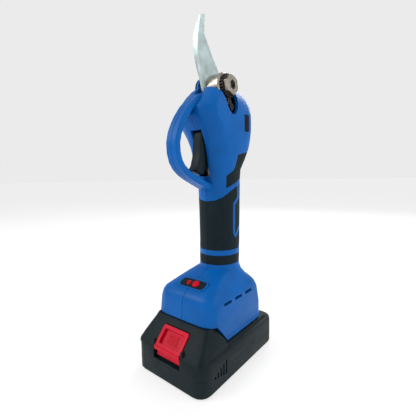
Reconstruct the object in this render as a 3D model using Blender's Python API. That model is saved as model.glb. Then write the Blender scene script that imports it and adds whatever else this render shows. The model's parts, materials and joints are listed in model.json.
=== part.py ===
"""Battery electric pruner: a vertical pistol grip with a bypass blade pair on top and a slide-on battery below.

Z is up, the trigger and the battery button face -Y, and the pivot nut and the display face +X. The origin is
the centre of the battery's bottom. The gear train stands in its own frame, DRIVE, whose origin is the blade
pivot and whose -Z runs down the motor's axis.
"""

import math

import bmesh
import bpy
from mathutils import Matrix, Vector

MM = 0.001

# Housing
WALL = 3.2 * MM
SEAM_GAP = 0.15 * MM  # half of the gap between the two housing halves
GRIP_DEPTH = 1.6 * MM
FIT_GAP = 0.2 * MM
CAVITY_FLOOR_Z = 47 * MM
CAVITY_TOP_Z = 248 * MM

# Cutting head
PIVOT_Y = 8.5 * MM
PIVOT_Z = 251.5 * MM
DRIVE_TILT = math.radians(5.5)
HUB_RADIUS = 12 * MM
BOLT_RADIUS = 3.95 * MM
FIXED_BLADE_X = (-3.0 * MM, -0.15 * MM)
MOVING_BLADE_X = (0.15 * MM, 2.6 * MM)

# Bevel pair: the sector turns with the blade, the pinion with the planet carrier
SECTOR_TEETH = 44
PINION_TEETH = 11
BEVEL_NEAR = 16.4 * MM  # distance of the teeth from the pivot
BEVEL_FAR = 24.2 * MM
SECTOR_FROM = math.radians(-9)
SECTOR_TO = math.radians(57.5)

# Planet stage
MODULE = 0.5 * MM
SUN_TEETH = 12
PLANET_TEETH = 15
RING_TEETH = 42
PLANET_ORBIT = (SUN_TEETH + PLANET_TEETH) * MODULE / 2
PLANETS = 3
GEAR_TOP = -53 * MM
GEAR_BOTTOM = -61.5 * MM

# Motor
MOTOR_RADIUS = 13.8 * MM
MOTOR_TOP = -68 * MM
MOTOR_BOTTOM = -112 * MM

# Trigger
TRIGGER_PIN_Y = -5 * MM
TRIGGER_PIN_Z = 207 * MM

# Battery
PACK_HALF_X = 39.4 * MM
PACK_HALF_Y = 58.5 * MM
HUMP_SLOPE = math.radians(47.2)
CELL_RADIUS = 9.2 * MM
CELL_LENGTH = 65 * MM
CELL_PITCH = 19.5 * MM

DRIVE = Matrix.Translation((0, PIVOT_Y, PIVOT_Z)) @ Matrix.Rotation(DRIVE_TILT, 4, "X")
ALONG_X = Matrix.Rotation(math.radians(90), 4, "Y")  # a shape made about Z, laid along X

# Stations of the outer body, in millimetres: height, front, rear, half width, then the reach of the front
# corners along X and Y and of the rear corners along X and Y. The last number flattens the front corners.
STATIONS = (
    (29.8, -38.8, 45.9, 33.2, 14, 9, 10, 10, 0),
    (30.6, -39.4, 46.5, 33.8, 14, 9, 10, 10, 0),
    (33.2, -39.4, 46.5, 33.8, 14, 9, 10, 10, 0),
    (33.7, -38.9, 46.0, 33.3, 14, 9, 10, 10, 0),
    (47.0, -39.2, 45.8, 33.2, 14, 9, 10, 10, 0),
    (62.0, -37.6, 44.4, 32.5, 13, 9, 12, 12, 0),
    (67.0, -36.4, 42.8, 31.3, 12, 9, 13, 13, 0),
    (70.5, -34.2, 41.0, 29.6, 12, 9, 14, 14, 0),
    (76.0, -22.8, 37.8, 24.8, 12, 10, 17, 17, 0),
    (80.0, -12.4, 36.8, 21.8, 12, 12, 18, 18, 0),
    (84.0, -2.4, 37.4, 19.3, 18, 18, 18, 18, 0),
    (88.0, -2.0, 37.6, 19.0, 18, 19, 18, 19, 0),
    (95.0, -2.0, 38.0, 19.1, 18, 19, 18, 19, 0),
    (112.0, -1.8, 38.8, 19.4, 19, 20, 19, 20, 0),
    (140.0, -1.9, 38.9, 19.6, 19, 20, 19, 20, 0),
    (160.0, -1.9, 38.7, 20.0, 18, 20, 19, 20, 0),
    (168.0, -3.6, 37.8, 20.2, 16, 19, 18, 19, 0.1),
    (178.0, -5.8, 37.8, 20.6, 14, 18, 17, 18, 0.3),
    (188.0, -7.8, 41.4, 21.8, 13, 18, 14, 15, 0.5),
    (198.0, -10.2, 46.2, 22.7, 13, 17, 13, 15, 0.6),
    (207.0, -13.2, 48.4, 23.1, 13, 13, 12, 15, 0.6),
    (216.0, -18.0, 50.0, 23.2, 13, 10, 12, 15, 0.5),
    (224.0, -23.2, 50.6, 23.0, 13, 9, 12, 15, 0.5),
    (231.0, -22.8, 50.6, 22.8, 13, 8, 12, 15, 0.5),
    (238.0, -16.6, 49.0, 22.0, 12, 8, 12, 15, 0.5),
    (243.4, -12.0, 47.0, 20.3, 11, 8, 11, 14, 0.3),
    (248.0, -7.8, 43.4, 17.4, 9, 8, 10, 13, 0.2),
    (252.0, -2.8, 38.0, 13.4, 7, 7, 8, 11, 0),
    (254.8, 2.2, 31.0, 8.8, 4, 6, 5, 7, 0),
)

# Finger guard, in millimetres: (Y, Z) of its middle line, and its half width along X.
GUARD = (
    (-10.6, 241.2, 6.2),
    (-16.2, 239.2, 6.2),
    (-21.6, 233.6, 6.2),
    (-27.6, 228.6, 6.2),
    (-34.6, 219.7, 6.2),
    (-38.5, 213.4, 6.2),
    (-41.8, 206.6, 6.2),
    (-43.7, 199.0, 6.2),
    (-43.4, 191.2, 6.2),
    (-41.3, 184.2, 6.2),
    (-37.6, 179.2, 6.2),
    (-32.6, 175.2, 6.2),
    (-26.4, 171.8, 6.2),
    (-16, 167.2, 6.4),
    (-6, 163.2, 6.8),
    (2, 160.8, 7),
)
GUARD_HALF_THICKNESS = 2.8

# Every outline below holds (Y, Z) points in millimetres.
NOTCH = (
    (-9, 270), (-5.4, 246.6), (-2.6, 242), (-0.7, 238.2), (1.4, 232.8), (4.2, 228.6), (8.2, 226.4), (12, 226.4),
    (15, 228.8), (17.5, 233.4), (19.4, 245), (20.8, 270),
)
BLADE_SLOT = (
    (-40, 290), (-40, 243.5), (-14, 243.5), (-8, 237), (24, 237), (25.6, 249), (27.6, 253.7), (60, 253.7), (60, 290),
)
TRIGGER_SLOT = ((-12, 171.8), (3, 171.8), (3, 212.2), (-26, 212.2), (-26, 200), (-16, 188))
TRIGGER = (
    (-8.6, 211.4), (-12.8, 211), (-13.6, 206), (-14.2, 200), (-14.8, 195), (-15.6, 189), (-18.2, 181),
    (-21.4, 177.8), (-20.8, 176.2), (-15.8, 174.2), (-11.2, 173.4), (-9.6, 178), (-8.2, 187), (-6.6, 197),
    (-2.4, 202.6), (-1.6, 208), (-3.6, 211.4),
)
MOVING_BLADE = (
    (-3.2, 249.6), (-7.2, 254.4), (-10.1, 258.4), (-10.9, 263), (-11.9, 268), (-13.0, 273.3), (-14.0, 279),
    (-14.2, 285), (-13.8, 290.5), (-12.3, 297.3), (-11.3, 302), (-9.5, 309.3), (-3.5, 311.8), (-4.3, 302.2),
    (-4.8, 297.2), (-5.8, 296.1), (0.1, 288), (5.3, 280.5), (10.3, 274.7), (13.2, 271.2), (16.6, 266.4),
    (19.4, 260), (20.4, 253), (18, 244), (13, 240.4), (8.5, 239.5), (3, 240.9), (-1.6, 245),
)
FIXED_BLADE = (
    (-3.4, 249), (-6.1, 258.5), (-7.4, 261), (-9.9, 266.2), (-11.8, 271.9), (-13.1, 278.7), (-13.8, 284.5),
    (-13.5, 290.7), (-12, 297.2), (-10.2, 304.2), (-7.9, 305), (-7.6, 298), (-6.8, 290), (-5.4, 282),
    (-2.4, 273), (4, 266.8), (12, 263.8), (17.8, 258.6), (20.4, 251), (18.2, 243.8), (13.2, 240.4), (8.3, 239.4),
    (2.8, 240.8), (-1.7, 244.2),
)
BAND = ((-14, 97), (50, 97), (50, 102.4), (-14, 102.4))
GRIP_AREA = (
    (-14, 88.4), (52, 88.4), (52, 196.4), (38, 195.2), (18.3, 191.1), (15.3, 180), (13.2, 177.2), (5.6, 171.8),
    (7.2, 158), (-14, 150),
)
STRIPE_ACROSS = (
    (-16, 147.2), (-2.6, 148), (0.8, 150), (2.8, 151.4), (11.8, 158.4), (21.1, 163.2), (52, 173.6), (52, 179.6),
    (22.6, 168.6), (6.9, 161.2), (-16, 152.4),
)
STRIPE_DOWN = (
    (19.6, 166), (20.4, 159.6), (20.8, 152.8), (14.1, 146.6), (14.1, 118), (17, 112.6), (30, 124), (52, 131),
    (52, 135), (29.6, 128), (17.4, 117.4), (17.2, 145), (24.2, 150.6), (23.8, 159.6), (23, 167),
)
STRIPE_LOW = ((22.6, 100), (29, 113), (52, 122), (52, 118), (32, 110.4), (27, 100))
RUNNERS = (
    ((4, 92), (8, 92), (8, 108), (4, 108)),
    ((31, 92), (35, 92), (35, 132), (31, 132)),
    ((16, 157), (20, 157), (20, 172), (16, 172)),
)

COLOURS = {
    "blue": ((0.015, 0.15, 0.49), 0.42, 0.0),
    "rubber": ((0.017, 0.026, 0.032), 0.75, 0.0),
    "black": ((0.012, 0.017, 0.021), 0.5, 0.0),
    "red": ((0.62, 0.013, 0.035), 0.4, 0.0),
    "glass": ((0.01, 0.013, 0.015), 0.15, 0.0),
    "white": ((0.75, 0.75, 0.72), 0.4, 0.0),
    "blade": ((0.36, 0.44, 0.43), 0.35, 1.0),
    "steel": ((0.45, 0.42, 0.37), 0.35, 1.0),
    "dark_steel": ((0.08, 0.075, 0.07), 0.45, 1.0),
    "alloy": ((0.55, 0.56, 0.57), 0.4, 1.0),
    "copper": ((0.7, 0.3, 0.12), 0.4, 1.0),
    "brass": ((0.7, 0.5, 0.2), 0.4, 1.0),
    "board": ((0.01, 0.12, 0.05), 0.5, 0.0),
    "cell": ((0.1, 0.35, 0.3), 0.45, 0.0),
}


# Shapes


def clear_scene():
    for obj in list(bpy.data.objects):
        bpy.data.objects.remove(obj)


def mm(points):
    return [tuple(value * MM for value in point) for point in points]


def solid(name, points, faces):
    """A closed mesh object of triangles that face outwards, so that every face is flat."""
    mesh = bpy.data.meshes.new(name)
    work = bmesh.new()
    corners = [work.verts.new(point) for point in points]
    for face in faces:
        work.faces.new([corners[i] for i in face])
    bmesh.ops.recalc_face_normals(work, faces=work.faces)
    bmesh.ops.triangulate(work, faces=work.faces)
    work.to_mesh(mesh)
    work.free()
    obj = bpy.data.objects.new(name, mesh)
    bpy.context.scene.collection.objects.link(obj)
    return obj


def loft(name, rings):
    """A skin over rings of equal count, closed by a flat face at each end."""
    count = len(rings[0])
    points = [point for ring in rings for point in ring]
    faces = [tuple(range(count)), tuple(range(len(points) - count, len(points)))]
    for level in range(len(rings) - 1):
        for i in range(count):
            j = (i + 1) % count
            low = level * count
            faces.append((low + i, low + j, low + count + j, low + count + i))
    return solid(name, points, faces)


def prism_x(name, outline, low, high):
    """A (Y, Z) outline extruded along X."""
    return loft(name, [[(x, y, z) for y, z in outline] for x in (low, high)])


def prism_z(name, outline, low, high):
    """An (X, Y) outline extruded along Z."""
    return loft(name, [[(x, y, z) for x, y in outline] for z in (low, high)])


def box(name, low, high):
    return prism_z(
        name, [(low[0], low[1]), (high[0], low[1]), (high[0], high[1]), (low[0], high[1])], low[2], high[2]
    )


def turned(name, profile, segments):
    """(radius, height) points turned about Z: a solid where the profile ends on the axis, otherwise a ring."""
    points, index = [], {}
    for i, (radius, height) in enumerate(profile):
        for k in range(segments):
            if radius == 0 and k:
                index[i, k] = index[i, 0]
                continue
            angle = 2 * math.pi * k / segments
            index[i, k] = len(points)
            points.append((radius * math.cos(angle), radius * math.sin(angle), height))
    ring = all(radius for radius, _ in profile)
    faces = []
    for i in range(len(profile) - (not ring)):
        j = (i + 1) % len(profile)
        for k in range(segments):
            after = (k + 1) % segments
            face = [index[i, k], index[i, after], index[j, after], index[j, k]]
            face = list(dict.fromkeys(face))
            if len(face) > 2:
                faces.append(face)
    return solid(name, points, faces)


def rod(name, radius, low, high, segments=24):
    return turned(name, [(0, low), (radius, low), (radius, high), (0, high)], segments)


def tube(name, outer, inner, low, high, segments=24):
    return turned(name, [(outer, low), (outer, high), (inner, high), (inner, low)], segments)


def coil(name, radius, wire, length, turns, sides=5, steps=10):
    """A coil spring about Z from 0 to its length."""
    rings = []
    for i in range(turns * steps + 1):
        angle = 2 * math.pi * i / steps
        height = wire + (length - 2 * wire) * i / (turns * steps)
        centre = Vector((radius * math.cos(angle), radius * math.sin(angle), height))
        outward = Vector((math.cos(angle), math.sin(angle), 0))
        ring = []
        for k in range(sides):
            around = 2 * math.pi * k / sides
            ring.append(centre + wire * (math.cos(around) * outward + math.sin(around) * Vector((0, 0, 1))))
        rings.append(ring)
    return loft(name, rings)


def polygon(radius, sides, start=0.0):
    angles = [start + 2 * math.pi * i / sides for i in range(sides)]
    return [(radius * math.cos(angle), radius * math.sin(angle)) for angle in angles]


def rounded(half_a, half_b, corner, steps=4):
    """A rectangle with round corners, about its centre."""
    points = []
    for quarter, (sign_a, sign_b) in enumerate(((1, 1), (-1, 1), (-1, -1), (1, -1))):
        for step in range(steps + 1):
            angle = math.radians(90 * (quarter + step / steps))
            points.append(
                (
                    sign_a * (half_a - corner) + corner * math.cos(angle),
                    sign_b * (half_b - corner) + corner * math.sin(angle),
                )
            )
    return points


def grown(outline, by):
    """An outline in metres with every edge moved outwards."""
    count = len(outline)
    area = sum(
        outline[i][0] * outline[(i + 1) % count][1] - outline[(i + 1) % count][0] * outline[i][1]
        for i in range(count)
    )
    side = by if area > 0 else -by
    moved = []
    for i, (a, b) in enumerate(outline):
        before = Vector((a, b)) - Vector(outline[i - 1])
        after = Vector(outline[(i + 1) % count]) - Vector((a, b))
        first = Vector((before.y, -before.x)).normalized()
        second = Vector((after.y, -after.x)).normalized()
        corner = (first + second) / (1 + first.dot(second))
        moved.append((a + corner.x * side, b + corner.y * side))
    return moved


def place(obj, matrix):
    obj.data.transform(matrix)
    return obj


def combine(target, operation, tools):
    """Applies a Boolean of the target with each tool, and removes the tools."""
    for tool in tools:
        modifier = target.modifiers.new(tool.name, "BOOLEAN")
        modifier.operation = operation
        modifier.object = tool
        modifier.solver = "EXACT"
    result = bpy.data.meshes.new_from_object(target.evaluated_get(bpy.context.evaluated_depsgraph_get()))
    target.modifiers.clear()
    target.data = result
    for tool in tools:
        bpy.data.objects.remove(tool)
    return target


def cut(target, *tools):
    return combine(target, "DIFFERENCE", tools)


def join(target, *tools):
    return combine(target, "UNION", tools)


def common(target, *tools):
    return combine(target, "INTERSECT", tools)


def finish(obj, name, colour, joint_origin=None):
    """Names a piece, moves its origin to its joint's axis and gives it its own material."""
    obj.name = name
    obj.data.name = name
    if joint_origin is not None:
        obj.data.transform(Matrix.Translation(-Vector(joint_origin)))
        obj.location = joint_origin
    base, roughness, metallic = COLOURS[colour]
    material = bpy.data.materials.new(name)
    material.use_nodes = True
    shader = material.node_tree.nodes["Principled BSDF"]
    shader.inputs["Base Color"].default_value = (*base, 1)
    shader.inputs["Roughness"].default_value = roughness
    shader.inputs["Metallic"].default_value = metallic
    material.diffuse_color = (*base, 1)
    obj.data.materials.clear()
    obj.data.materials.append(material)
    obj.data.shade_smooth()
    obj.data.set_sharp_from_angle(angle=math.radians(35))
    return obj


# Housing


def body_ring(station, inset, steps=4):
    height, front, rear, half, front_x, front_y, rear_x, rear_y = (value * MM for value in station[:8])
    front, rear, half = front + inset, rear - inset, half - inset
    reach = [max(value - inset, 1 * MM) for value in (front_x, front_y, rear_x, rear_y)]
    corners = (
        (half - reach[0], front + reach[1], reach[0], reach[1], 270, station[8]),
        (half - reach[2], rear - reach[3], reach[2], reach[3], 0, 0),
        (-half + reach[2], rear - reach[3], reach[2], reach[3], 90, 0),
        (-half + reach[0], front + reach[1], reach[0], reach[1], 180, station[8]),
    )
    ring = []
    for x, y, across_x, along_y, start, flat in corners:
        first, last = math.radians(start), math.radians(start + 90)
        for step in range(steps + 1):
            share = step / steps
            angle = first + (last - first) * share
            chord_x = math.cos(first) * (1 - share) + math.cos(last) * share
            chord_y = math.sin(first) * (1 - share) + math.sin(last) * share
            round_x = math.cos(angle) * (1 - flat) + chord_x * flat
            round_y = math.sin(angle) * (1 - flat) + chord_y * flat
            ring.append((x + across_x * round_x, y + along_y * round_y, height))
    return ring


def body(inset=0.0, lowest=0.0, highest=300 * MM):
    stations = [station for station in STATIONS if lowest <= station[0] * MM <= highest]
    return loft("body", [body_ring(station, inset) for station in stations])


def guard():
    """The bow in front of the trigger: a chamfered bar swept along its middle line."""
    rings = []
    middle = [Vector((y, z)) for y, z, _ in GUARD]
    for i, (y, z, half) in enumerate(GUARD):
        ahead = middle[min(i + 1, len(middle) - 1)] - middle[max(i - 1, 0)]
        out = Vector((-ahead.y, ahead.x)).normalized()
        thick, edge = GUARD_HALF_THICKNESS, 1.0
        section = (
            (half, thick - edge), (half - edge, thick), (edge - half, thick), (-half, thick - edge),
            (-half, edge - thick), (edge - half, -thick), (half - edge, -thick), (half, edge - thick),
        )
        rings.append([(x * MM, (y + out.x * t) * MM, (z + out.y * t) * MM) for x, t in section])
    return loft("guard", rings)


def on_pivot(radius, low, high, segments=40):
    """A cylinder on the blade's pivot axis."""
    return place(rod("round", radius, low, high, segments), Matrix.Translation((0, PIVOT_Y, PIVOT_Z)) @ ALONG_X)


def across(radius, y, z, low, high, segments=16):
    """A cylinder along X at a (Y, Z) point."""
    return place(rod("round", radius, low, high, segments), Matrix.Translation((0, y, z)) @ ALONG_X)


# Each housing screw, in millimetres: Y, Z, the X of its head's seat and the X of its end.
SCREWS = (
    (-19.5, 227, -9, 9),
    (43, 221, -11, 11),
    (-29, 59, -14, 14),
    (39.5, 59, -14, 14),
)
SCREW_RADIUS = 1.25 * MM
SCREW_HEAD = 2.5 * MM


def panel_frame():
    """The frame of the switch panel: its origin in the foot's front slope, Z out of it and Y up it."""
    return Matrix.Translation((1 * MM, -23.8 * MM, 75.4 * MM)) @ Matrix.Rotation(math.radians(25.6), 4, "X")


def grip_region(margin):
    """The covered area of one side as solids along X. A positive margin makes it larger."""
    area = prism_x("area", grown(mm(GRIP_AREA), margin), -60 * MM, 60 * MM)
    stripes = [
        prism_x("stripe", grown(mm(outline), -margin), -70 * MM, 70 * MM)
        for outline in (BAND, STRIPE_ACROSS, STRIPE_DOWN, STRIPE_LOW)
    ]
    return cut(area, *stripes)


def grip_runners(margin, outer, inner):
    """The strands that join the rubber fields under the blue stripes."""
    strands = [prism_x("strand", grown(mm(outline), margin), -60 * MM, 60 * MM) for outline in RUNNERS]
    layer = cut(body(outer), body(inner))
    return common(layer, join(strands[0], *strands[1:]))


def half_space(side, start):
    low, high = sorted((side * start, side * 100 * MM))
    return box("half", (low, -100 * MM, -10 * MM), (high, 100 * MM, 400 * MM))


def grip(side, name):
    skin = cut(body(), body(GRIP_DEPTH))
    skin = common(skin, grip_region(0))
    skin = join(skin, grip_runners(0, 1.2 * MM, 2.2 * MM))
    skin = common(skin, half_space(side, SEAM_GAP))
    return finish(skin, name, "rubber")


def display_outline(margin):
    return [
        (y + 32.6 * MM, z + 221.5 * MM)
        for y, z in rounded(4.2 * MM + margin, 7.8 * MM + margin, 0.8 * MM + margin, 2)
    ]


def screw_hole(y, z, seat, end):
    """A stepped hole: the head's recess from the -X side, then the shank's bore."""
    head, shank = SCREW_HEAD + 0.3 * MM, SCREW_RADIUS + 0.2 * MM
    profile = ((0, -60 * MM), (head, -60 * MM), (head, seat), (shank, seat), (shank, end + 0.5 * MM), (0, end + 0.5 * MM))
    return place(turned("hole", profile, 16), Matrix.Translation((0, y, z)) @ ALONG_X)


def shell(side):
    """One housing half with what both halves share."""
    rim = place(prism_z("rim", rounded(15.2 * MM, 6.2 * MM, 4 * MM), -3.4 * MM, 0.9 * MM), panel_frame())
    outer = join(body(), guard(), rim)
    outer = cut(outer, body(WALL, CAVITY_FLOOR_Z, CAVITY_TOP_Z))
    floor_hole = box("hole", (-17.4 * MM, 24.6 * MM, 40 * MM), (17.4 * MM, 38.4 * MM, 54 * MM))
    bosses = []
    holes = []
    for y, z, seat, end in SCREWS:
        reach = (34 if z < 100 else 23) - 1.5
        if abs(seat) > 6:
            bosses.append(across(4.4 * MM, y * MM, z * MM, -reach * MM, reach * MM))
        holes.append(screw_hole(y * MM, z * MM, seat * MM, end * MM))
    pin = (TRIGGER_PIN_Y, TRIGGER_PIN_Z)
    bosses.append(across(2.8 * MM, *pin, -20.5 * MM, 20.5 * MM))
    outer = join(outer, *[common(boss, body(0.9 * MM)) for boss in bosses])
    slots = [
        prism_x("slot", mm(BLADE_SLOT), -5.2 * MM, 4.6 * MM),
        prism_x("slot", mm(TRIGGER_SLOT), -6.2 * MM, 6.2 * MM),
        across(1.35 * MM, *pin, -9 * MM, 9 * MM),
        floor_hole,
        nose_clearance(),
        rail_slot(),
        place(prism_z("seat", rounded(13.8 * MM, 4.8 * MM, 3.2 * MM), -2.9 * MM, 9 * MM), panel_frame()),
    ]
    outer = cut(outer, *slots, *holes)
    outer = common(outer, half_space(side, SEAM_GAP))
    recess = common(cut(body(-3 * MM), body(GRIP_DEPTH + FIT_GAP)), grip_region(FIT_GAP))
    outer = cut(outer, recess, grip_runners(FIT_GAP, 1.0 * MM, 2.4 * MM))
    return outer


def nose_clearance():
    """The space under the foot's nose that the battery's front hump fills."""
    outline = mm(((-64, 20), (-16.8, 20), (-16.8, 30), (-23.6, 39.4), (-30.8, 47.7), (-64, 47.7)))
    return prism_x("nose", outline, -50 * MM, 50 * MM)


def rail_slot():
    """The T slot in the foot's underside."""
    outline = mm(((-21.6, 26), (21.6, 26), (21.6, 37), (25, 37), (25, 44.6), (-25, 44.6), (-25, 37), (-21.6, 37)))
    return loft("rail", [[(x, y, z) for x, z in outline] for y in (-60 * MM, 41 * MM)])


def vents(side):
    slots = []
    for y in (-14.5, 2.4, 19.4):
        outline = [(y * MM + a, 62.5 * MM + b) for a, b in rounded(5.8 * MM, 1.25 * MM, 1.1 * MM, 2)]
        slots.append(prism_x("vent", outline, *sorted((side * 29 * MM, side * 40 * MM))))
    return slots


def left_housing():
    """The +X half, with the notch for the pivot nut and the display's window."""
    half = shell(1)
    window = common(cut(body(-3 * MM), body(1.9 * MM)), prism_x("w", display_outline(FIT_GAP), 0, 40 * MM))
    half = cut(
        half,
        prism_x("notch", mm(NOTCH), 4 * MM, 40 * MM),
        on_pivot(HUB_RADIUS + 0.8 * MM, -1 * MM, 40 * MM),
        window,
        *vents(1),
    )
    return finish(half, "left_housing", "blue")


def right_housing():
    """The -X half, with the round boss that covers the bolt's head."""
    pivot = Matrix.Translation((0, PIVOT_Y, PIVOT_Z)) @ ALONG_X
    seat = turned("seat", mm(((0, -40), (11.9, -40), (11.9, -9.2), (9.4, -9.2), (9.4, 1), (0, 1))), 40)
    channel = box("channel", (-9.45 * MM, -9.9 * MM, -32 * MM), (-2 * MM, 9.9 * MM, -1 * MM))
    boss = common(on_pivot(13.6 * MM, -24 * MM, -6 * MM, 44), body(0.9 * MM))
    half = join(shell(-1), boss, on_pivot(11.5 * MM, -9.2 * MM, -7.25 * MM, 36))
    half = cut(half, place(seat, pivot), place(channel, DRIVE), *vents(-1))
    return finish(half, "right_housing", "blue")


def display():
    skin = cut(body(0.25 * MM), body(1.7 * MM))
    skin = common(skin, prism_x("w", display_outline(0), 0, 40 * MM))
    return finish(skin, "display", "glass")


def housing_screws():
    for number, (y, z, seat, end) in enumerate(SCREWS, 1):
        head = across(SCREW_HEAD, y * MM, z * MM, (seat - 1.9) * MM, (seat - 0.15) * MM, 16)
        shank = across(SCREW_RADIUS, y * MM, z * MM, (seat - 1) * MM, end * MM, 12)
        socket = place(
            prism_z("hex", polygon(1.3 * MM, 6), (seat - 3) * MM, (seat - 0.9) * MM),
            Matrix.Translation((0, y * MM, z * MM)) @ ALONG_X,
        )
        finish(cut(join(head, shank), socket), f"housing_screw_{number}", "dark_steel")


# Cutting head


def blade_plate(outline, low, high):
    plate = prism_x("plate", mm(outline), low, high)
    return cut(plate, on_pivot(BOLT_RADIUS + 0.2 * MM, low - MM, high + MM, 32))


def head_frame():
    """The alloy frame: a cheek beside the blades, the pinion's bearing socket and the arm for the lock pawl."""
    cheek = [(9 * MM * math.cos(a), 9 * MM * math.sin(a)) for a in
             (math.radians(180 * i / 16) for i in range(17))]
    cheek += [(-9 * MM, -30 * MM), (9 * MM, -30 * MM)]
    frame = prism_x("frame", cheek, -8.7 * MM, -3.3 * MM)
    frame = cut(frame, box("pocket", (-7.8 * MM, -20 * MM, -26.8 * MM), (0, 20 * MM, -13.6 * MM)))
    socket = rod("socket", 10.4 * MM, -46 * MM, -26.8 * MM, 36)
    lower = box("lower", (-12 * MM, -9 * MM, -30 * MM), (-8 * MM, 9 * MM, -13.8 * MM))
    arm = prism_x("arm", mm(((-4, -34), (4, -34), (4, -15.4), (2, -13.4), (-2, -13.4), (-4, -15.4))),
                  10.4 * MM, 16 * MM)
    foot = box("foot", (6 * MM, -4 * MM, -34 * MM), (11 * MM, 4 * MM, -26.8 * MM))
    frame = join(frame, lower, socket, arm, foot)
    frame = cut(
        frame,
        rod("bore", 7.6 * MM, -34.4 * MM, -20 * MM, 32),
        rod("bore", 3.2 * MM, -50 * MM, -20 * MM, 24),
        place(rod("bore", BOLT_RADIUS + 0.2 * MM, -20 * MM, 0, 32), ALONG_X),
        place(rod("hole", 1.5 * MM, 0, 30 * MM, 12), Matrix.Translation((0, 0, -18.4 * MM)) @ ALONG_X),
    )
    place(frame, DRIVE)
    frame = cut(frame, *[across(1.2 * MM, y, z, -20 * MM, 0, 12) for y, z in blade_screw_points()])
    return finish(frame, "head_frame", "alloy")


def blade_screw_points():
    return [(PIVOT_Y + side * 6.7 * MM, PIVOT_Z) for side in (1, -1)]


def blades():
    fixed = blade_plate(FIXED_BLADE, *FIXED_BLADE_X)
    fixed = cut(fixed, *[across(1.2 * MM, y, z, -10 * MM, 5 * MM, 14) for y, z in blade_screw_points()])
    finish(fixed, "fixed_blade", "blade")
    moving = blade_plate(MOVING_BLADE, *MOVING_BLADE_X)
    moving = cut(moving, *[across(1.65 * MM, y, z, -1 * MM, 4 * MM, 12) for y, z in dowel_points()])
    finish(moving, "moving_blade", "blade", (0, PIVOT_Y, PIVOT_Z))
    for number, (y, z) in enumerate(blade_screw_points(), 1):
        screw = join(
            across(1.6 * MM, y, z, -10.2 * MM, -8.85 * MM, 16), across(1.0 * MM, y, z, -9.6 * MM, -1.2 * MM, 12)
        )
        finish(screw, f"fixed_blade_screw_{number}", "dark_steel")


def dowel_points():
    reach = 8 * MM
    return [
        (PIVOT_Y + sign * reach * math.cos(math.radians(20)), PIVOT_Z + sign * reach * math.sin(math.radians(20)))
        for sign in (1, -1)
    ]


def pivot_bolt():
    pivot = Matrix.Translation((0, PIVOT_Y, PIVOT_Z)) @ ALONG_X
    head = place(prism_z("bolt", polygon(5.2 * MM, 6), -11.9 * MM, -8.9 * MM), pivot)
    shank = place(rod("shank", BOLT_RADIUS, -10 * MM, 21 * MM, 32), pivot)
    finish(join(head, shank), "pivot_bolt", "dark_steel")


def pivot_cover():
    """The cap on the -X side over the bolt's head and the fixed blade's screws."""
    cover = turned(
        "cover",
        mm(((0, -13.5), (6.2, -13.5), (7, -12.8), (7, -11.4), (10.8, -11.4), (11.5, -10.8), (11.5, -9.4), (8.7, -9.4),
            (8.7, -10.5), (5.7, -10.5), (5.7, -12.2), (0, -12.2))),
        36,
    )
    place(cover, Matrix.Translation((0, PIVOT_Y, PIVOT_Z)) @ ALONG_X)
    finish(cover, "pivot_cover", "black")


def toothed_disc():
    """The disc under the nut, with the notches that the pawl locks into."""
    outline = []
    for tooth in range(24):
        for share, radius in ((-0.3, 8.9), (-0.18, 10.4), (0.18, 10.4), (0.3, 8.9)):
            angle = 2 * math.pi * (tooth + share) / 24
            outline.append((radius * MM * math.cos(angle), radius * MM * math.sin(angle)))
    disc = cut(
        prism_z("disc", outline, 16.3 * MM, 19 * MM), rod("bore", BOLT_RADIUS + 0.2 * MM, 0, 30 * MM, 32)
    )
    place(disc, Matrix.Translation((0, PIVOT_Y, PIVOT_Z)) @ ALONG_X)
    finish(disc, "toothed_disc", "dark_steel")


def pivot_nut():
    nut = prism_z("nut", polygon(8.9 * MM, 6, math.radians(12)), 19.3 * MM, 23.2 * MM)
    rounding = turned("rounding", mm(((0, 18), (9.8, 18), (9.8, 21.4), (8.0, 23.6), (0, 23.6))), 36)
    nut = common(nut, rounding)
    nut = cut(
        nut,
        rod("bore", BOLT_RADIUS + 0.2 * MM, 0, 21.6 * MM, 32),
        prism_z("hex", polygon(4.4 * MM, 6, math.radians(12)), 21.2 * MM, 25 * MM),
    )
    place(nut, Matrix.Translation((0, PIVOT_Y, PIVOT_Z)) @ ALONG_X)
    finish(nut, "pivot_nut", "steel")


def lock_pawl():
    outline = mm(((-3.8, -22.4), (3.8, -22.4), (4.2, -15), (1.7, -11), (0.9, -11), (0, -11.7), (-0.9, -11),
                  (-1.7, -11), (-4.2, -15)))
    pawl = prism_x("pawl", outline, 16.3 * MM, 18.8 * MM)
    at_hole = Matrix.Translation((0, 0, -18.4 * MM)) @ ALONG_X
    pawl = cut(pawl, place(rod("hole", 1.5 * MM, 10 * MM, 20 * MM, 12), at_hole))
    finish(place(pawl, DRIVE), "lock_pawl", "dark_steel")
    screw = join(
        rod("screw", 2.7 * MM, 19 * MM, 21 * MM, 18), rod("shank", 1.25 * MM, 11 * MM, 20 * MM, 12)
    )
    screw = cut(screw, prism_z("hex", polygon(1.4 * MM, 6), 20.1 * MM, 22 * MM))
    finish(place(screw, DRIVE @ at_hole), "lock_screw", "dark_steel")


# Gears


def tooth_points(teeth, root, tip, root_share, tip_share, start):
    """(radius, angle) of a tooth's four corners, for each tooth. The shares are of half the tooth pitch."""
    half_pitch = math.pi / teeth
    points = []
    for tooth in range(teeth):
        middle = start + 2 * half_pitch * tooth
        for radius, share in ((root, -root_share), (tip, -tip_share), (tip, tip_share), (root, root_share)):
            points.append((radius, middle + share * half_pitch))
    return points


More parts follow.
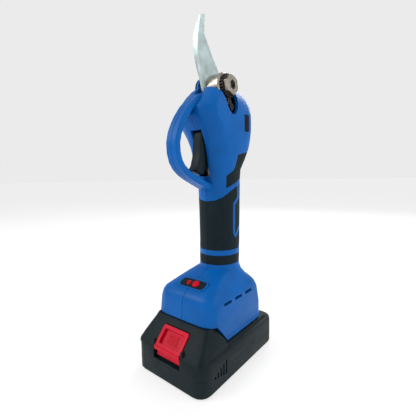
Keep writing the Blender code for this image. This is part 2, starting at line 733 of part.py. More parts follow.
def spur_outline(teeth, start=0.0, inner=False):
    pitch = teeth * MODULE / 2
    way = -1 if inner else 1
    root, tip = pitch - way * 1.0 * MODULE, pitch + way * 0.75 * MODULE
    return [
        (radius * math.cos(angle), radius * math.sin(angle))
        for radius, angle in tooth_points(teeth, root, tip, 0.62, 0.2, start)
    ]


def planet_stage():
    ring = cut(
        rod("ring", 12.4 * MM, -62.5 * MM, -52.6 * MM, 36),
        prism_z("teeth", spur_outline(RING_TEETH, math.pi / RING_TEETH, True), -70 * MM, -50 * MM),
    )
    finish(place(ring, DRIVE), "ring_gear", "steel")
    sun = cut(
        prism_z("sun", spur_outline(SUN_TEETH), GEAR_BOTTOM, GEAR_TOP), rod("bore", 1.35 * MM, -70 * MM, -50 * MM, 12)
    )
    finish(place(sun, DRIVE), "sun_gear", "steel", DRIVE @ Vector((0, 0, GEAR_TOP)))
    for number in range(PLANETS):
        centre = 2 * math.pi * number / PLANETS
        planet = cut(
            prism_z("planet", spur_outline(PLANET_TEETH, centre), GEAR_BOTTOM, GEAR_TOP),
            rod("bore", 1.5 * MM, -70 * MM, -50 * MM, 12),
        )
        at = Vector((PLANET_ORBIT * math.cos(centre), PLANET_ORBIT * math.sin(centre), 0))
        place(planet, DRIVE @ Matrix.Translation(at))
        finish(planet, f"planet_gear_{number + 1}", "steel", DRIVE @ (at + Vector((0, 0, GEAR_TOP))))


def planet_carrier():
    carrier = rod("carrier", 9.8 * MM, -51.6 * MM, -49.2 * MM, 36)
    pins = []
    for number in range(PLANETS):
        centre = 2 * math.pi * number / PLANETS
        at = (PLANET_ORBIT * math.cos(centre), PLANET_ORBIT * math.sin(centre), 0)
        pins.append(place(rod("pin", 1.3 * MM, -62 * MM, -50 * MM, 12), Matrix.Translation(at)))
    carrier = join(carrier, *pins)
    carrier = cut(carrier, rod("bore", 2.2 * MM, -53 * MM, -48 * MM, 16))
    finish(place(carrier, DRIVE), "planet_carrier", "steel", DRIVE @ Vector((0, 0, -50 * MM)))


def bevel_pinion():
    """Teeth on a cone whose apex is the pivot, and the shaft down to the planet carrier."""
    pitch = math.atan(PINION_TEETH / SECTOR_TEETH)
    rings = []
    for distance in (BEVEL_NEAR, BEVEL_FAR):
        ring = []
        for cone, angle in tooth_points(
            PINION_TEETH, pitch - math.radians(2.6), pitch + math.radians(1.9), 0.6, 0.22, 0
        ):
            radius = distance * math.tan(cone)
            ring.append((radius * math.cos(angle), radius * math.sin(angle), -distance))
        rings.append(ring)
    pinion = loft("pinion", rings)
    shaft = turned(
        "shaft",
        mm(((0, -18), (2.6, -18), (2.6, -25.4), (4.2, -25.6), (4.2, -27.6), (2.6, -27.6), (2.6, -47.6), (2.0, -47.6),
            (2.0, -51.4), (0, -51.4))),
        20,
    )
    collar = rod("collar", 4.4 * MM, -25.8 * MM, -24 * MM, 20)
    pinion = join(pinion, shaft, collar)
    finish(place(pinion, DRIVE), "bevel_pinion", "steel", DRIVE @ Vector((0, 0, -BEVEL_FAR)))


def blade_gear():
    """The hub around the pivot bolt and the toothed sector that swings with the blade."""
    pitch = math.atan(SECTOR_TEETH / PINION_TEETH)
    step = 2 * math.pi / SECTOR_TEETH
    back = 9.4 * MM
    corners = []
    first = math.ceil(SECTOR_FROM / step)
    last = math.floor(SECTOR_TO / step)
    root, tip = pitch - math.radians(2.6), pitch + math.radians(1.9)
    for tooth in range(first, last):
        middle = (tooth + 0.5) * step
        for cone, share in ((root, -0.6), (tip, -0.22), (tip, 0.22), (root, 0.6)):
            corners.append((cone, middle + share * step / 2))
    near, far = BEVEL_NEAR / math.sin(pitch), BEVEL_FAR / math.sin(pitch)
    rings = []
    for cone, angle in corners:
        ring = [
            (length * math.cos(cone), length * math.sin(cone) * math.sin(angle),
             -length * math.sin(cone) * math.cos(angle))
            for length in (near, far)
        ]
        for length in (far, near):
            reach = length * math.sin(root)
            ring.append((back, reach * math.sin(angle), -reach * math.cos(angle)))
        rings.append(ring)
    sector = loft("sector", rings)
    start, end = corners[0][1] + math.radians(1), corners[-1][1] - math.radians(1)
    angles = [start + (end - start) * i / 8 for i in range(9)]
    fan = [(near * 1.04 * math.sin(a), -near * 1.04 * math.cos(a)) for a in angles]
    fan += [(5 * MM * math.cos(angles[-1]), 5 * MM * math.sin(angles[-1])),
            (-5 * MM * math.cos(angles[0]), -5 * MM * math.sin(angles[0]))]
    web = prism_x("web", fan, 7.0 * MM, 9.1 * MM)
    hub = place(
        turned("hub", mm(((0, 2.9), (12, 2.9), (12, 14.8), (10.8, 16), (0, 16))), 32), ALONG_X
    )
    gear = join(hub, web, sector)
    gear = cut(gear, place(rod("bore", BOLT_RADIUS + 0.2 * MM, 0, 20 * MM, 32), ALONG_X))
    place(gear, DRIVE)
    gear = cut(gear, *[across(1.65 * MM, y, z, 0, 7 * MM, 12) for y, z in dowel_points()])
    finish(gear, "blade_gear", "steel", (0, PIVOT_Y, PIVOT_Z))
    for number, (y, z) in enumerate(dowel_points(), 1):
        pin = across(1.45 * MM, y, z, 0.5 * MM, 6.6 * MM, 12)
        finish(pin, f"blade_dowel_{number}", "steel", (0, PIVOT_Y, PIVOT_Z))


# Motor


def motor():
    can = tube("can", MOTOR_RADIUS, MOTOR_RADIUS - 1.1 * MM, MOTOR_BOTTOM, MOTOR_TOP, 28)
    front = tube("front", MOTOR_RADIUS - 0.4 * MM, 3 * MM, MOTOR_TOP - 1.6 * MM, MOTOR_TOP, 28)
    nose = tube("nose", 5.5 * MM, 3 * MM, MOTOR_TOP - 1 * MM, MOTOR_TOP + 2.6 * MM, 24)
    finish(place(join(can, front, nose), DRIVE), "motor_can", "dark_steel")
    stator = tube("stator", MOTOR_RADIUS - 1.4 * MM, 7.6 * MM, MOTOR_BOTTOM + 5 * MM, MOTOR_TOP - 4 * MM, 24)
    finish(place(stator, DRIVE), "stator", "copper")
    rotor = join(
        rod("rotor", 7.1 * MM, MOTOR_BOTTOM + 5.4 * MM, MOTOR_TOP - 4.4 * MM, 20),
        rod("shaft", 1.2 * MM, MOTOR_BOTTOM + 0.8 * MM, GEAR_TOP + 0.4 * MM, 12),
    )
    finish(place(rotor, DRIVE), "rotor", "dark_steel", DRIVE @ Vector((0, 0, MOTOR_TOP)))
    bearing = tube("bearing", 4.5 * MM, 1.4 * MM, MOTOR_BOTTOM + 0.6 * MM, MOTOR_BOTTOM + 3.4 * MM, 20)
    finish(place(bearing, DRIVE), "rear_bearing", "steel")
    cap = turned(
        "cap",
        [(0, MOTOR_BOTTOM - 4 * MM), (11.6 * MM, MOTOR_BOTTOM - 4 * MM), (13.2 * MM, MOTOR_BOTTOM - 2.6 * MM),
         (13.2 * MM, MOTOR_BOTTOM - 0.3 * MM), (0, MOTOR_BOTTOM - 0.3 * MM)],
        36,
    )
    finish(place(cap, DRIVE), "motor_end_cap", "black")
    socket_bearing = tube("bearing", 7.4 * MM, 2.8 * MM, -34 * MM, -28 * MM, 28)
    finish(place(socket_bearing, DRIVE), "pinion_bearing", "steel")


# Trigger and controls


def trigger():
    pin_at = (0, TRIGGER_PIN_Y, TRIGGER_PIN_Z)
    lever = prism_x("trigger", mm(TRIGGER), -5.4 * MM, 5.4 * MM)
    bevel = lever.modifiers.new("round_edges", "BEVEL")
    bevel.width = 1.1 * MM
    bevel.segments = 2
    bevel.limit_method = "ANGLE"
    bevel.angle_limit = math.radians(60)
    lever = cut(lever, across(1.4 * MM, TRIGGER_PIN_Y, TRIGGER_PIN_Z, -10 * MM, 10 * MM))
    finish(lever, "trigger", "black", pin_at)
    finish(across(1.1 * MM, TRIGGER_PIN_Y, TRIGGER_PIN_Z, -8.7 * MM, 8.7 * MM), "trigger_pin", "steel")
    spring = coil("spring", 1.7 * MM, 0.3 * MM, 4.5 * MM, 4, 4, 8)
    place(spring, Matrix.Translation((0, -5.9 * MM, 194.5 * MM)) @ Matrix.Rotation(math.radians(-90), 4, "X"))
    finish(spring, "trigger_spring", "steel")
    sensor = join(
        box("sensor", (-4 * MM, -3.7 * MM, 180 * MM), (4 * MM, 0.2 * MM, 190 * MM)),
        box("plate", (-4 * MM, -1.1 * MM, 189 * MM), (4 * MM, 0.2 * MM, 199 * MM)),
    )
    finish(sensor, "trigger_sensor", "black")


def switch_panel():
    """The plate on the foot's slope, with the power button and the status lens in it."""
    frame = panel_frame()
    plate = prism_z("panel", rounded(13.5 * MM, 4.5 * MM, 2.9 * MM), -2.6 * MM, 1.1 * MM)
    plate = cut(
        plate,
        place(rod("hole", 3.9 * MM, -5 * MM, 5 * MM, 24), Matrix.Translation((3.4 * MM, 0, 0))),
        place(rod("hole", 2.9 * MM, -5 * MM, 5 * MM, 20), Matrix.Translation((-4.6 * MM, 0, 0))),
    )
    finish(place(plate, frame), "switch_panel", "black")
    button = turned(
        "button", mm(((0, -1.4), (3.6, -1.4), (3.6, 1.5), (3.1, 2.0), (2.2, 2.0), (0, 1.75))), 24
    )
    place(button, frame @ Matrix.Translation((3.4 * MM, 0, 0)))
    finish(button, "power_button", "red", frame @ Vector((3.4 * MM, 0, 0)))
    lens = turned("lens", mm(((0, -2.4), (2.6, -2.4), (2.6, 1.2), (2, 1.6), (0, 1.7))), 20)
    finish(place(lens, frame @ Matrix.Translation((-4.6 * MM, 0, 0))), "status_lens", "red")


def electronics():
    board = box("board", (-24 * MM, -20 * MM, 52.4 * MM), (24 * MM, 22 * MM, 54 * MM))
    finish(board, "controller_board", "board")
    capacitor = rod("capacitor", 4.5 * MM, -8 * MM, 8 * MM, 20)
    place(capacitor, Matrix.Translation((0, -8 * MM, 58.9 * MM)) @ ALONG_X)
    finish(capacitor, "capacitor", "black")
    block = join(
        box("block", (-17 * MM, 25 * MM, 45.2 * MM), (17 * MM, 38 * MM, 48 * MM)),
        box("flange", (-20 * MM, 23 * MM, 47.3 * MM), (20 * MM, 40 * MM, 50 * MM)),
        box("tab", (-14.4 * MM, 26 * MM, 38.6 * MM), (-13.6 * MM, 37 * MM, 46 * MM)),
        box("tab", (13.6 * MM, 26 * MM, 38.6 * MM), (14.4 * MM, 37 * MM, 46 * MM)),
    )
    finish(block, "terminal_block", "black")


# Battery


def pack_ring(height, half_x, half_y, corner):
    return [(x * MM, y * MM, height * MM) for x, y in rounded(half_x, half_y, corner, 4)]


def pack_body(inset):
    """The battery's lower block, with rounded lower and upper edges."""
    levels = ((0, 1.2), (1.4, 0), (24.4, 0), (26.2, 0.6), (27, 1.8))
    if inset:
        levels = ((2.2, 0), (24.4, 0))
    rings = [
        pack_ring(height, PACK_HALF_X / MM - side - inset, PACK_HALF_Y / MM - side - inset, 11 - side - inset)
        for height, side in levels
    ]
    return loft("pack", rings)


def parting(gap, above):
    """Everything above or below the wavy line between the two battery shells."""
    wave = [(-70, 14.6), (-47, 14.6), (-42, 11.6), (-22, 11.6), (-16, 14.6), (16, 14.6), (22, 11.6), (42, 11.6),
            (47, 14.6), (70, 14.6)]
    shifted = [(y, z + (gap if above else -gap)) for y, z in wave]
    end = 80 if above else -10
    return prism_x("parting", mm(shifted + [(70, end), (-70, end)]), -50 * MM, 50 * MM)


def pack_vents():
    slots = []
    for side in (-1, 1):
        for i in range(5):
            y = -42.6 + 3.8 * i
            slots.append(
                box("vent", (side * PACK_HALF_X - 1.2 * MM, (y - 0.9) * MM, (11.4 - 0.8 * i) * MM),
                    (side * PACK_HALF_X + 1.2 * MM, (y + 0.9) * MM, (14 + 1.7 * i) * MM))
            )
    return slots


def hump_frame():
    """On the middle of the hump's front slope: Z out of it and Y up it."""
    return Matrix.Translation((0, -50.9 * MM, 34.8 * MM)) @ Matrix.Rotation(HUMP_SLOPE, 4, "X")


def hump():
    rings = []
    for height, front, rear, half in (
        (25, -57.8, -17.1, 37.4), (27.4, -57.5, -17.1, 37.2), (33, -52.6, -19.4, 35.6), (39, -46.9, -23.8, 33.6),
        (44, -42.4, -28.0, 31.8), (47.3, -40.6, -31.2, 30.0),
    ):
        middle, half_y = (front + rear) / 2, (rear - front) / 2
        corner = min(5, half_y - 0.5)
        rings.append([(x * MM, (y + middle) * MM, height * MM) for x, y in rounded(half, half_y, corner, 3)])
    return loft("hump", rings)


def battery_shells():
    lower = cut(pack_body(0), pack_body(2.3))
    lower = common(lower, parting(0.12, False))
    finish(cut(lower, *pack_vents()), "battery_bottom_shell", "black")
    shelf = loft("shelf", [
        [(x * MM, (y + 14) * MM, z * MM) for x, y in rounded(half_x, half_y, 8, 3)]
        for z, half_x, half_y in ((25, 37.6, 42.6), (27, 37, 42), (29.3, 34.6, 38))
    ])
    rail = join(
        box("neck", (-21 * MM, -24 * MM, 26 * MM), (21 * MM, 40.6 * MM, 38 * MM)),
        box("flange", (-24.6 * MM, -24 * MM, 37.3 * MM), (24.6 * MM, 40.6 * MM, 44.2 * MM)),
    )
    upper = join(pack_body(0), shelf, hump(), rail)
    upper = cut(upper, pack_body(2.3))
    upper = join(upper, box("backing", (-17.4 * MM, -57.4 * MM, 12 * MM), (17.4 * MM, -52 * MM, 32 * MM)))
    upper = common(upper, parting(0.12, True))
    grooves = [
        box("groove", (x - 1.1 * MM, 24.6 * MM, 38 * MM), (x + 1.1 * MM, 50 * MM, 50 * MM))
        for x in (-14 * MM, 14 * MM)
    ]
    recess = prism_z("recess", rounded(15.4 * MM, 11.4 * MM, 2.6 * MM), -3.6 * MM, 12 * MM)
    place(recess, hump_frame() @ Matrix.Translation((0, -1.2 * MM, 0)))
    below = box("below", (-15.4 * MM, -66 * MM, 17 * MM), (15.4 * MM, -54.4 * MM, 31 * MM))
    upper = cut(upper, recess, below, *grooves, *pack_vents())
    finish(upper, "battery_top_shell", "black")


def battery_button():
    """The release button: a rim with a ribbed thumb pad inside it and a lip that reaches down over the front."""
    frame = hump_frame()
    plate = prism_z("plate", rounded(14.6 * MM, 9.4 * MM, 1.8 * MM), -3.2 * MM, 0.8 * MM)
    plate = cut(plate, prism_z("pad", rounded(11.6 * MM, 6.4 * MM, 1.4 * MM), -1.8 * MM, 3 * MM))
    ribs = [
        box("rib", (-5.4 * MM, (y - 0.4) * MM, -2.2 * MM), (5.4 * MM, (y + 0.4) * MM, -1.2 * MM))
        for y in (-3.2, -1.6, 0, 1.6, 3.2)
    ]
    plate = place(join(plate, *ribs), frame)
    lip = box("lip", (-14.6 * MM, -58.4 * MM, 25.4 * MM), (14.6 * MM, -55 * MM, 28.6 * MM))
    tongue = box("tongue", (-13.2 * MM, -56.2 * MM, 19.6 * MM), (13.2 * MM, -54.9 * MM, 26.6 * MM))
    finish(join(plate, lip, tongue), "battery_button", "red", frame @ Vector((0, 0, 0)))


def battery_inside():
    for number in range(5):
        y = (number - 2) * CELL_PITCH
        cell = rod("cell", CELL_RADIUS, -CELL_LENGTH / 2, CELL_LENGTH / 2, 20)
        cell = join(cell, rod("tip", 3 * MM, CELL_LENGTH / 2 - MM, CELL_LENGTH / 2 + MM, 12))
        place(cell, Matrix.Translation((0, y, 12.6 * MM)) @ ALONG_X)
        finish(cell, f"cell_{number + 1}", "cell")
    board = box("board", (-30 * MM, -44 * MM, 22.3 * MM), (30 * MM, 44 * MM, 23.8 * MM))
    finish(board, "battery_board", "board")


def build():
    clear_scene()
    left_housing()
    right_housing()
    grip(1, "left_grip")
    grip(-1, "right_grip")
    housing_screws()
    head_frame()
    blades()
    pivot_bolt()
    pivot_cover()
    toothed_disc()
    pivot_nut()
    lock_pawl()
    bevel_pinion()
    blade_gear()
    planet_carrier()
    planet_stage()
    motor()
    trigger()
    display()
    switch_panel()
    electronics()
    battery_shells()
    battery_button()
    battery_inside()


build()
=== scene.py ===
"""The looks of the battery electric pruner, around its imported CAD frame. Metres, in the frame's own axes."""

import json
import math

import bmesh
import bpy
from mathutils import Matrix, Vector

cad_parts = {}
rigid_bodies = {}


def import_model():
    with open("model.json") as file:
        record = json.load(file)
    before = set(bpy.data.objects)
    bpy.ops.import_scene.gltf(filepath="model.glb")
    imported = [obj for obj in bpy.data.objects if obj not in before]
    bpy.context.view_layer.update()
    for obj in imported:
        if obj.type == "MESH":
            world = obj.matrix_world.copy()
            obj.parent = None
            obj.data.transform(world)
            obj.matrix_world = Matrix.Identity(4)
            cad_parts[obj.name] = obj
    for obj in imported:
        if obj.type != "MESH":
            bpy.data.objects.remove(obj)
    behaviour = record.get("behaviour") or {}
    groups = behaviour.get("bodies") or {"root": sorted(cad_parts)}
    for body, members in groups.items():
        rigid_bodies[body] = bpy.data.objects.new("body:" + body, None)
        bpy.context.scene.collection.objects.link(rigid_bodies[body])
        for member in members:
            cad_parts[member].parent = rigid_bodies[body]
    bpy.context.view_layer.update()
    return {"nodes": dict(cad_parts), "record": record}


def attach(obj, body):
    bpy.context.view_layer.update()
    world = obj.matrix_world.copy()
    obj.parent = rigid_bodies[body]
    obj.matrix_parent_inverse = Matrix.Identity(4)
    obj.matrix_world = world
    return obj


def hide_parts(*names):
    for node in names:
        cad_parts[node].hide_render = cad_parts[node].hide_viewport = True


MM = 0.001

# The camera: where it stands, which way it turns, and its lens.
CAMERA_PLACE = (0.1696, -0.2118, 0.1706)
CAMERA_AZIMUTH = math.radians(38.68)
CAMERA_PITCH = math.radians(5.99)
CAMERA_ROLL = math.radians(-0.79)
CAMERA_NEAR = 0.01
SENSOR_WIDTH = 36
LENS = 25.04

# The sky's light on the object, and how bright the bare backdrop looks.
SKY_STRENGTH = 0.48
BACKDROP_STRENGTH = 0.83

# The floor lies just under the battery, and glows enough to meet the backdrop without a hard horizon.
FLOOR_HALF_SIDE = 20
FLOOR_DROP = 0.4 * MM
FLOOR_SHADES = ((0.38, 0.38, 0.38), (0.4, 0.4, 0.4))
FLOOR_ROUGHNESS = 0.8
FLOOR_GLOW = 0.64

# Each softbox has a name, a place, the length of its side and its power in watts. All aim at one point.
SOFTBOXES = (
    ("key", (-0.55, -0.75, 0.85), 0.7, 7.5),
    ("side", (0.9, 0.25, 0.75), 0.9, 5),
    ("back", (-0.2, 0.9, 0.8), 0.6, 6),
)
LIGHTS_AIM = (0, 0, 0.15)

# Edges sharper than SMOOTH_BELOW stay crisp; smaller steps between faces are shaded as one smooth surface.
SMOOTH_BELOW = math.radians(34)
FLAT_BELOW = math.radians(0.6)
WELD = 0.01 * MM
EDGE_ROUNDING = 0.3 * MM
# A mesh whose shortest edge is under this has no room for rounded edges.
ROOM_FOR_ROUNDING = 0.04 * MM
# Fine wire, ribs and teeth keep their own edges.
LEFT_SHARP = ("trigger_spring", "battery_button", "planet_gear_1", "planet_gear_2", "planet_gear_3")

BLUE = (0.0, 0.106, 0.40)
BLUE_WORN = (0.0, 0.14, 0.47)
SLATE = (0.004, 0.012, 0.016)
SLATE_WORN = (0.02, 0.032, 0.038)
SLATE_DUSTY = (0.008, 0.019, 0.024)
PACK_SLATE = (0.005, 0.013, 0.016)
RED = (0.56, 0.0, 0.02)
RED_WORN = (0.64, 0.004, 0.03)
LENS_RED = (0.34, 0.003, 0.006)
WINDOW_BLACK = (0.001, 0.0013, 0.0016)
WINDOW_WORN = (0.03, 0.035, 0.04)
BOARD_GREEN = (0.008, 0.09, 0.035)
BOARD_WORN = (0.2, 0.25, 0.1)
SLEEVE_BLACK = (0.015, 0.015, 0.022)
WRAP_TEAL = (0.05, 0.24, 0.2)
WRAP_WORN = (0.3, 0.45, 0.4)
BLADE = (0.5, 0.6, 0.6)
BLADE_WORN = (0.72, 0.78, 0.78)
PIVOT = (0.46, 0.42, 0.36)
PIVOT_WORN = (0.75, 0.7, 0.62)
BLACKENED = (0.06, 0.055, 0.05)
BLACKENED_WORN = (0.4, 0.38, 0.35)
ALLOY = (0.2, 0.2, 0.21)
ALLOY_WORN = (0.5, 0.5, 0.5)
GEAR = (0.36, 0.36, 0.37)
GEAR_WORN = (0.7, 0.7, 0.7)
COPPER = (0.6, 0.24, 0.09)
COPPER_WORN = (0.8, 0.45, 0.25)

# How strongly each kind of plastic mirrors its surroundings. The shader's own default is 0.5.
MOULDED_SHINE = 0.14
RUBBER_SHINE = 0.12
GLASS_SHINE = 0.12
GLASS_ROUGHNESS = 0.2

# Wear starts where the rounded normal leans away from the flat one, as the cosine of their angle.
WEAR_STARTS = 0.985
WEAR_IS_FULL = 0.8
BEVEL_SAMPLES = 6

# Scratches per metre along X, Y and Z: long strokes up the tool, or the same in every direction.
LENGTHWISE = (900, 900, 60)
ALL_ROUND = (500, 500, 500)


# Node trees


class Finish:
    """One material and short calls for the nodes that feed its shader."""

    def __init__(self, name):
        self.material = bpy.data.materials.new(name)
        self.material.use_nodes = True
        self.tree = self.material.node_tree
        self.shader = self.tree.nodes["Principled BSDF"]
        self.place = self.add("ShaderNodeTexCoord").outputs["Object"]

    def add(self, kind, **settings):
        node = self.tree.nodes.new(kind)
        for name, value in settings.items():
            setattr(node, name, value)
        return node

    def link(self, source, target):
        self.tree.links.new(source, target)

    def stretched(self, scale):
        """The surface's coordinates, with a scale for each axis."""
        mapping = self.add("ShaderNodeMapping")
        mapping.inputs["Scale"].default_value = scale
        self.link(self.place, mapping.inputs["Vector"])
        return mapping.outputs["Vector"]

    def noise(self, scale, detail, roughness=0.55, where=None):
        """Soft noise from 0 to 1, at the plain coordinates or at the given ones."""
        noise = self.add("ShaderNodeTexNoise")
        noise.inputs["Scale"].default_value = scale
        noise.inputs["Detail"].default_value = detail
        noise.inputs["Roughness"].default_value = roughness
        self.link(where or self.place, noise.inputs["Vector"])
        return noise.outputs["Fac"]

    def cells(self, scale):
        """Small round cells: the distance from each one's middle."""
        voronoi = self.add("ShaderNodeTexVoronoi")
        voronoi.inputs["Scale"].default_value = scale
        self.link(self.place, voronoi.inputs["Vector"])
        return voronoi.outputs["Distance"]

    def remap(self, value, low, high, to_low=0.0, to_high=1.0):
        """Stretches the range from low to high over the new range, and clamps what is outside."""
        node = self.add("ShaderNodeMapRange")
        for name, number in (("From Min", low), ("From Max", high), ("To Min", to_low), ("To Max", to_high)):
            node.inputs[name].default_value = number
        self.link(value, node.inputs["Value"])
        return node.outputs["Result"]

    def times(self, a, b):
        node = self.add("ShaderNodeMath", operation="MULTIPLY")
        self.link(a, node.inputs[0])
        self.link(b, node.inputs[1])
        return node.outputs["Value"]

    def mix(self, share, first, second):
        """A mix of two colours; each is a colour or another node's output."""
        node = self.add("ShaderNodeMix", data_type="RGBA")
        self.link(share, node.inputs["Factor"])
        for socket, colour in ((node.inputs[6], first), (node.inputs[7], second)):
            if isinstance(colour, tuple):
                socket.default_value = (*colour, 1)
            else:
                self.link(colour, socket)
        return node.outputs[2]

    def edges(self, radius):
        """How near a point is to an outer edge, and the normal of that rounded edge."""
        bevel = self.add("ShaderNodeBevel", samples=BEVEL_SAMPLES)
        bevel.inputs["Radius"].default_value = radius
        flat = self.add("ShaderNodeNewGeometry").outputs["Normal"]
        dot = self.add("ShaderNodeVectorMath", operation="DOT_PRODUCT")
        self.link(bevel.outputs["Normal"], dot.inputs[0])
        self.link(flat, dot.inputs[1])
        return self.remap(dot.outputs["Value"], WEAR_STARTS, WEAR_IS_FULL), bevel.outputs["Normal"]

    def bump(self, height, distance, normal, strength):
        """The normal, tilted by a height that stands for the given distance in metres."""
        node = self.add("ShaderNodeBump")
        node.inputs["Strength"].default_value = strength
        node.inputs["Distance"].default_value = distance
        self.link(height, node.inputs["Height"])
        self.link(normal, node.inputs["Normal"])
        return node.outputs["Normal"]

    def set(self, **sockets):
        """Sets the shader's own constants, written with _ for a space."""
        for name, value in sockets.items():
            self.shader.inputs[name.replace("_", " ")].default_value = value

    def wear(self, colour, worn, edge_radius, patch_scale):
        """Mixes a worn colour in along the edges, in patches. Gives the colour and the rounded normal."""
        edge, normal = self.edges(edge_radius)
        patches = self.remap(self.noise(patch_scale, 5), 0.42, 0.62)
        return self.mix(self.times(edge, patches), colour, worn), normal

    def wire(self, colour, roughness, normal):
        """Connects what was made to the shader."""
        self.link(colour, self.shader.inputs["Base Color"])
        self.link(roughness, self.shader.inputs["Roughness"])
        self.link(normal, self.shader.inputs["Normal"])


def shaded(colour, factor):
    """The colour made darker or lighter."""
    return tuple(channel * factor for channel in colour)


def moulded(name, colour, worn, roughness, grain, depth, edge=0.45 * MM):
    """Moulded plastic: cloudy colour, a fine eroded grain, uneven gloss and paler rubbed edges."""
    finish = Finish(name)
    cloud = finish.remap(finish.noise(38, 5), 0.3, 0.7)
    clouded = finish.mix(cloud, shaded(colour, 0.86), shaded(colour, 1.12))
    base, normal = finish.wear(clouded, worn, edge, 260)
    smudge = finish.noise(70, 6, 0.65)
    gloss = finish.remap(smudge, 0.3, 0.7, roughness - 0.07, roughness + 0.09)
    grained = finish.bump(finish.noise(grain, 3, 0.6), depth, normal, 0.6)
    waved = finish.bump(finish.noise(90, 2), 0.06 * MM, grained, 0.35)
    finish.wire(base, gloss, waved)
    finish.set(Specular_IOR_Level=MOULDED_SHINE)
    return finish.material


def rubber(name):
    """Overmoulded rubber: a dense stippled skin with dusty high spots."""
    finish = Finish(name)
    stipple = finish.cells(1500)
    dust = finish.remap(finish.noise(60, 6, 0.7), 0.45, 0.75)
    base, normal = finish.wear(finish.mix(dust, SLATE, SLATE_DUSTY), SLATE_WORN, 0.4 * MM, 300)
    gloss = finish.remap(dust, 0, 1, 0.56, 0.74)
    finish.wire(base, gloss, finish.bump(stipple, 0.12 * MM, normal, 0.5))
    finish.set(Specular_IOR_Level=RUBBER_SHINE)
    return finish.material


def steel(name, colour, worn, roughness, along):
    """Ground or blackened metal: fine scratches along one axis, cloudy staining and bright edges."""
    finish = Finish(name)
    scratches = finish.noise(1.0, 3, 0.7, finish.stretched(along))
    stain = finish.remap(finish.noise(110, 5), 0.38, 0.68)
    stained = finish.mix(stain, colour, shaded(colour, 0.72))
    base, normal = finish.wear(stained, worn, 0.3 * MM, 400)
    gloss = finish.remap(scratches, 0.3, 0.7, roughness - 0.08, roughness + 0.12)
    finish.wire(base, gloss, finish.bump(scratches, 0.02 * MM, normal, 0.5))
    finish.set(Metallic=1)
    return finish.material


def glass(name, colour):
    """A glossy moulded window or lens with faint smears."""
    finish = Finish(name)
    smear = finish.remap(finish.noise(140, 6, 0.7), 0.35, 0.7)
    smeared = tuple(channel * 1.4 + 0.002 for channel in colour)
    base, normal = finish.wear(finish.mix(smear, colour, smeared), WINDOW_WORN, 0.2 * MM, 300)
    gloss = finish.remap(smear, 0, 1, GLASS_ROUGHNESS, GLASS_ROUGHNESS + 0.12)
    finish.wire(base, gloss, finish.bump(smear, 0.02 * MM, normal, 0.3))
    finish.set(Specular_IOR_Level=GLASS_SHINE)
    return finish.material


def plastics():
    """The plastics. The grain is in cells per metre, and the edge is how wide its wear and rounding are."""
    return {
        "blue_shell": moulded(
            "satin_blue", BLUE, BLUE_WORN, roughness=0.38, grain=1900, depth=0.03 * MM, edge=0.5 * MM
        ),
        "grip_rubber": rubber("grip_rubber"),
        "black_plastic": moulded(
            "black_plastic", SLATE, SLATE_WORN, roughness=0.46, grain=1500, depth=0.05 * MM
        ),
        "pack_plastic": moulded(
            "pack_plastic", PACK_SLATE, SLATE_WORN, roughness=0.5, grain=1100, depth=0.09 * MM, edge=0.6 * MM
        ),
        "red_plastic": moulded(
            "red_plastic", RED, RED_WORN, roughness=0.4, grain=1800, depth=0.02 * MM, edge=0.35 * MM
        ),
        "red_lens": glass("red_lens", LENS_RED),
        "display_window": glass("display_window", WINDOW_BLACK),
        "circuit_board": moulded(
            "circuit_board", BOARD_GREEN, BOARD_WORN, roughness=0.32, grain=900, depth=0.04 * MM
        ),
        "capacitor_sleeve": moulded(
            "capacitor_sleeve", SLEEVE_BLACK, SLATE_WORN, roughness=0.3, grain=800, depth=0.03 * MM
        ),
        "cell_wrap": moulded(
            "cell_wrap", WRAP_TEAL, WRAP_WORN, roughness=0.28, grain=600, depth=0.03 * MM
        ),
    }


def metals():
    """The metals: each with its colour, the colour of its worn edges and the way its scratches run."""
    return {
        "blade_steel": steel("blade_steel", BLADE, BLADE_WORN, roughness=0.46, along=LENGTHWISE),
        "pivot_steel": steel("pivot_steel", PIVOT, PIVOT_WORN, roughness=0.32, along=ALL_ROUND),
        "dark_steel": steel("dark_steel", BLACKENED, BLACKENED_WORN, roughness=0.42, along=ALL_ROUND),
        "frame_alloy": steel("frame_alloy", ALLOY, ALLOY_WORN, roughness=0.48, along=ALL_ROUND),
        "gear_steel": steel("gear_steel", GEAR, GEAR_WORN, roughness=0.3, along=ALL_ROUND),
        "motor_steel": steel("motor_steel", ALLOY, ALLOY_WORN, roughness=0.34, along=LENGTHWISE),
        "winding_copper": steel("winding_copper", COPPER, COPPER_WORN, roughness=0.35, along=ALL_ROUND),
    }


def finishes():
    """One material for each material slot of the record."""
    return {**plastics(), **metals()}


# Pieces


def placed(name, data):
    """A new object in the scene that shows the data."""
    obj = bpy.data.objects.new(name, data)
    bpy.context.scene.collection.objects.link(obj)
    return obj


def made_object(name, build):
    """A new object with the finished mesh."""
    mesh = bpy.data.meshes.new(name)
    build.to_mesh(mesh)
    build.free()
    return placed(name, mesh)


def refined(node, name):
    """A piece with the CAD node's shape: welded, flat faces joined up, curved faces shaded smooth."""
    build = bmesh.new()
    for vertex in node.data.vertices:
        build.verts.new(vertex.co)
    build.verts.ensure_lookup_table()
    for face in node.data.polygons:
        build.faces.new([build.verts[index] for index in face.vertices])
    bmesh.ops.remove_doubles(build, verts=build.verts, dist=WELD)
    bmesh.ops.dissolve_limit(build, angle_limit=FLAT_BELOW, verts=build.verts, edges=build.edges)
    for face in build.faces:
        face.smooth = True
    for edge in build.edges:
        edge.smooth = edge.is_manifold and edge.calc_face_angle() < SMOOTH_BELOW
    shortest = min(edge.calc_length() for edge in build.edges)
    piece = made_object(name, build)
    if shortest > ROOM_FOR_ROUNDING and node.name not in LEFT_SHARP:
        round_edges(piece)
    return piece


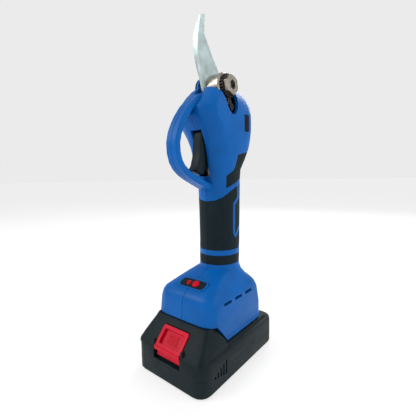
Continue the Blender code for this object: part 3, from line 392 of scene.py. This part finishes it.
def round_edges(piece):
    """Rounds the crisp edges in the mesh itself."""
    rounding = piece.modifiers.new("rounding", "BEVEL")
    rounding.width = EDGE_ROUNDING
    rounding.segments = 2
    rounding.limit_method = "ANGLE"
    rounding.angle_limit = SMOOTH_BELOW
    rounding.harden_normals = True


def dress(frame, materials):
    """Stands a refined piece in for every CAD node, with its slot's material, on the node's own body."""
    bodies = frame["record"]["behaviour"]["bodies"]
    body_of = {node: body for body, nodes in bodies.items() for node in nodes}
    for part in frame["record"]["subparts"]:
        node = part["node"]
        slot = part["material_slot"]
        piece = refined(frame["nodes"][node], f"{node}.look")
        piece.data.materials.append(materials[slot])
        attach(piece, body_of[node])
        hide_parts(node)


# Stage


def studio():
    """The floor, the lights around it and the pale surroundings."""
    lay_floor()
    for name, place, side, power in SOFTBOXES:
        softbox(name, place, side, power)
    surround()


def lay_floor():
    """A wide floor of pale paper."""
    build = bmesh.new()
    bmesh.ops.create_grid(build, x_segments=8, y_segments=8, size=FLOOR_HALF_SIDE)
    floor = made_object("floor", build)
    floor.location.z = -FLOOR_DROP
    paper = Finish("pale_paper")
    tint = paper.mix(paper.noise(6, 3), *FLOOR_SHADES)
    paper.link(tint, paper.shader.inputs["Base Color"])
    paper.set(Roughness=FLOOR_ROUGHNESS, Emission_Color=(1, 1, 1, 1), Emission_Strength=FLOOR_GLOW)
    floor.data.materials.append(paper.material)


def softbox(name, place, side, power):
    """A square lamp that faces the object."""
    light = bpy.data.lights.new(name, "AREA")
    light.shape = "SQUARE"
    light.size = side
    light.energy = power
    lamp = placed(name, light)
    lamp.location = place
    aim = Vector(LIGHTS_AIM) - Vector(place)
    lamp.rotation_euler = aim.to_track_quat("-Z", "Y").to_euler()


def surround():
    """A white sky that lights the object softly and shows as a brighter, plain backdrop."""
    world = bpy.data.worlds.new("surroundings")
    world.use_nodes = True
    nodes, links = world.node_tree.nodes, world.node_tree.links
    sky = nodes["Background"]
    sky.inputs["Color"].default_value = (1, 1, 1, 1)
    rays = nodes.new("ShaderNodeLightPath")
    brightness = nodes.new("ShaderNodeMapRange")
    brightness.inputs["To Min"].default_value = SKY_STRENGTH
    brightness.inputs["To Max"].default_value = BACKDROP_STRENGTH
    links.new(rays.outputs["Is Camera Ray"], brightness.inputs["Value"])
    links.new(brightness.outputs["Result"], sky.inputs["Strength"])
    bpy.context.scene.world = world
    bpy.context.scene.view_settings.view_transform = "Standard"


def camera():
    """The camera, turned by azimuth, tilted down by the pitch and rolled about its own view."""
    sin_a, cos_a = math.sin(CAMERA_AZIMUTH), math.cos(CAMERA_AZIMUTH)
    level = math.cos(CAMERA_PITCH)
    ahead = Vector((-sin_a * level, cos_a * level, -math.sin(CAMERA_PITCH)))
    level_right = Vector((cos_a, sin_a, 0))
    level_up = level_right.cross(ahead)
    right = level_right * math.cos(CAMERA_ROLL) + level_up * math.sin(CAMERA_ROLL)
    up = level_up * math.cos(CAMERA_ROLL) - level_right * math.sin(CAMERA_ROLL)
    data = bpy.data.cameras.new("camera")
    data.sensor_width = SENSOR_WIDTH
    data.lens = LENS
    data.clip_start = CAMERA_NEAR
    view = placed("camera", data)
    turn = Matrix((right, up, -ahead)).transposed().to_4x4()
    view.matrix_world = Matrix.Translation(CAMERA_PLACE) @ turn
    bpy.context.scene.camera = view


def clear_scene():
    """Takes away what a new Blender file starts with."""
    for obj in list(bpy.data.objects):
        bpy.data.objects.remove(obj)


clear_scene()
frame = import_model()
dress(frame, finishes())
studio()
camera()
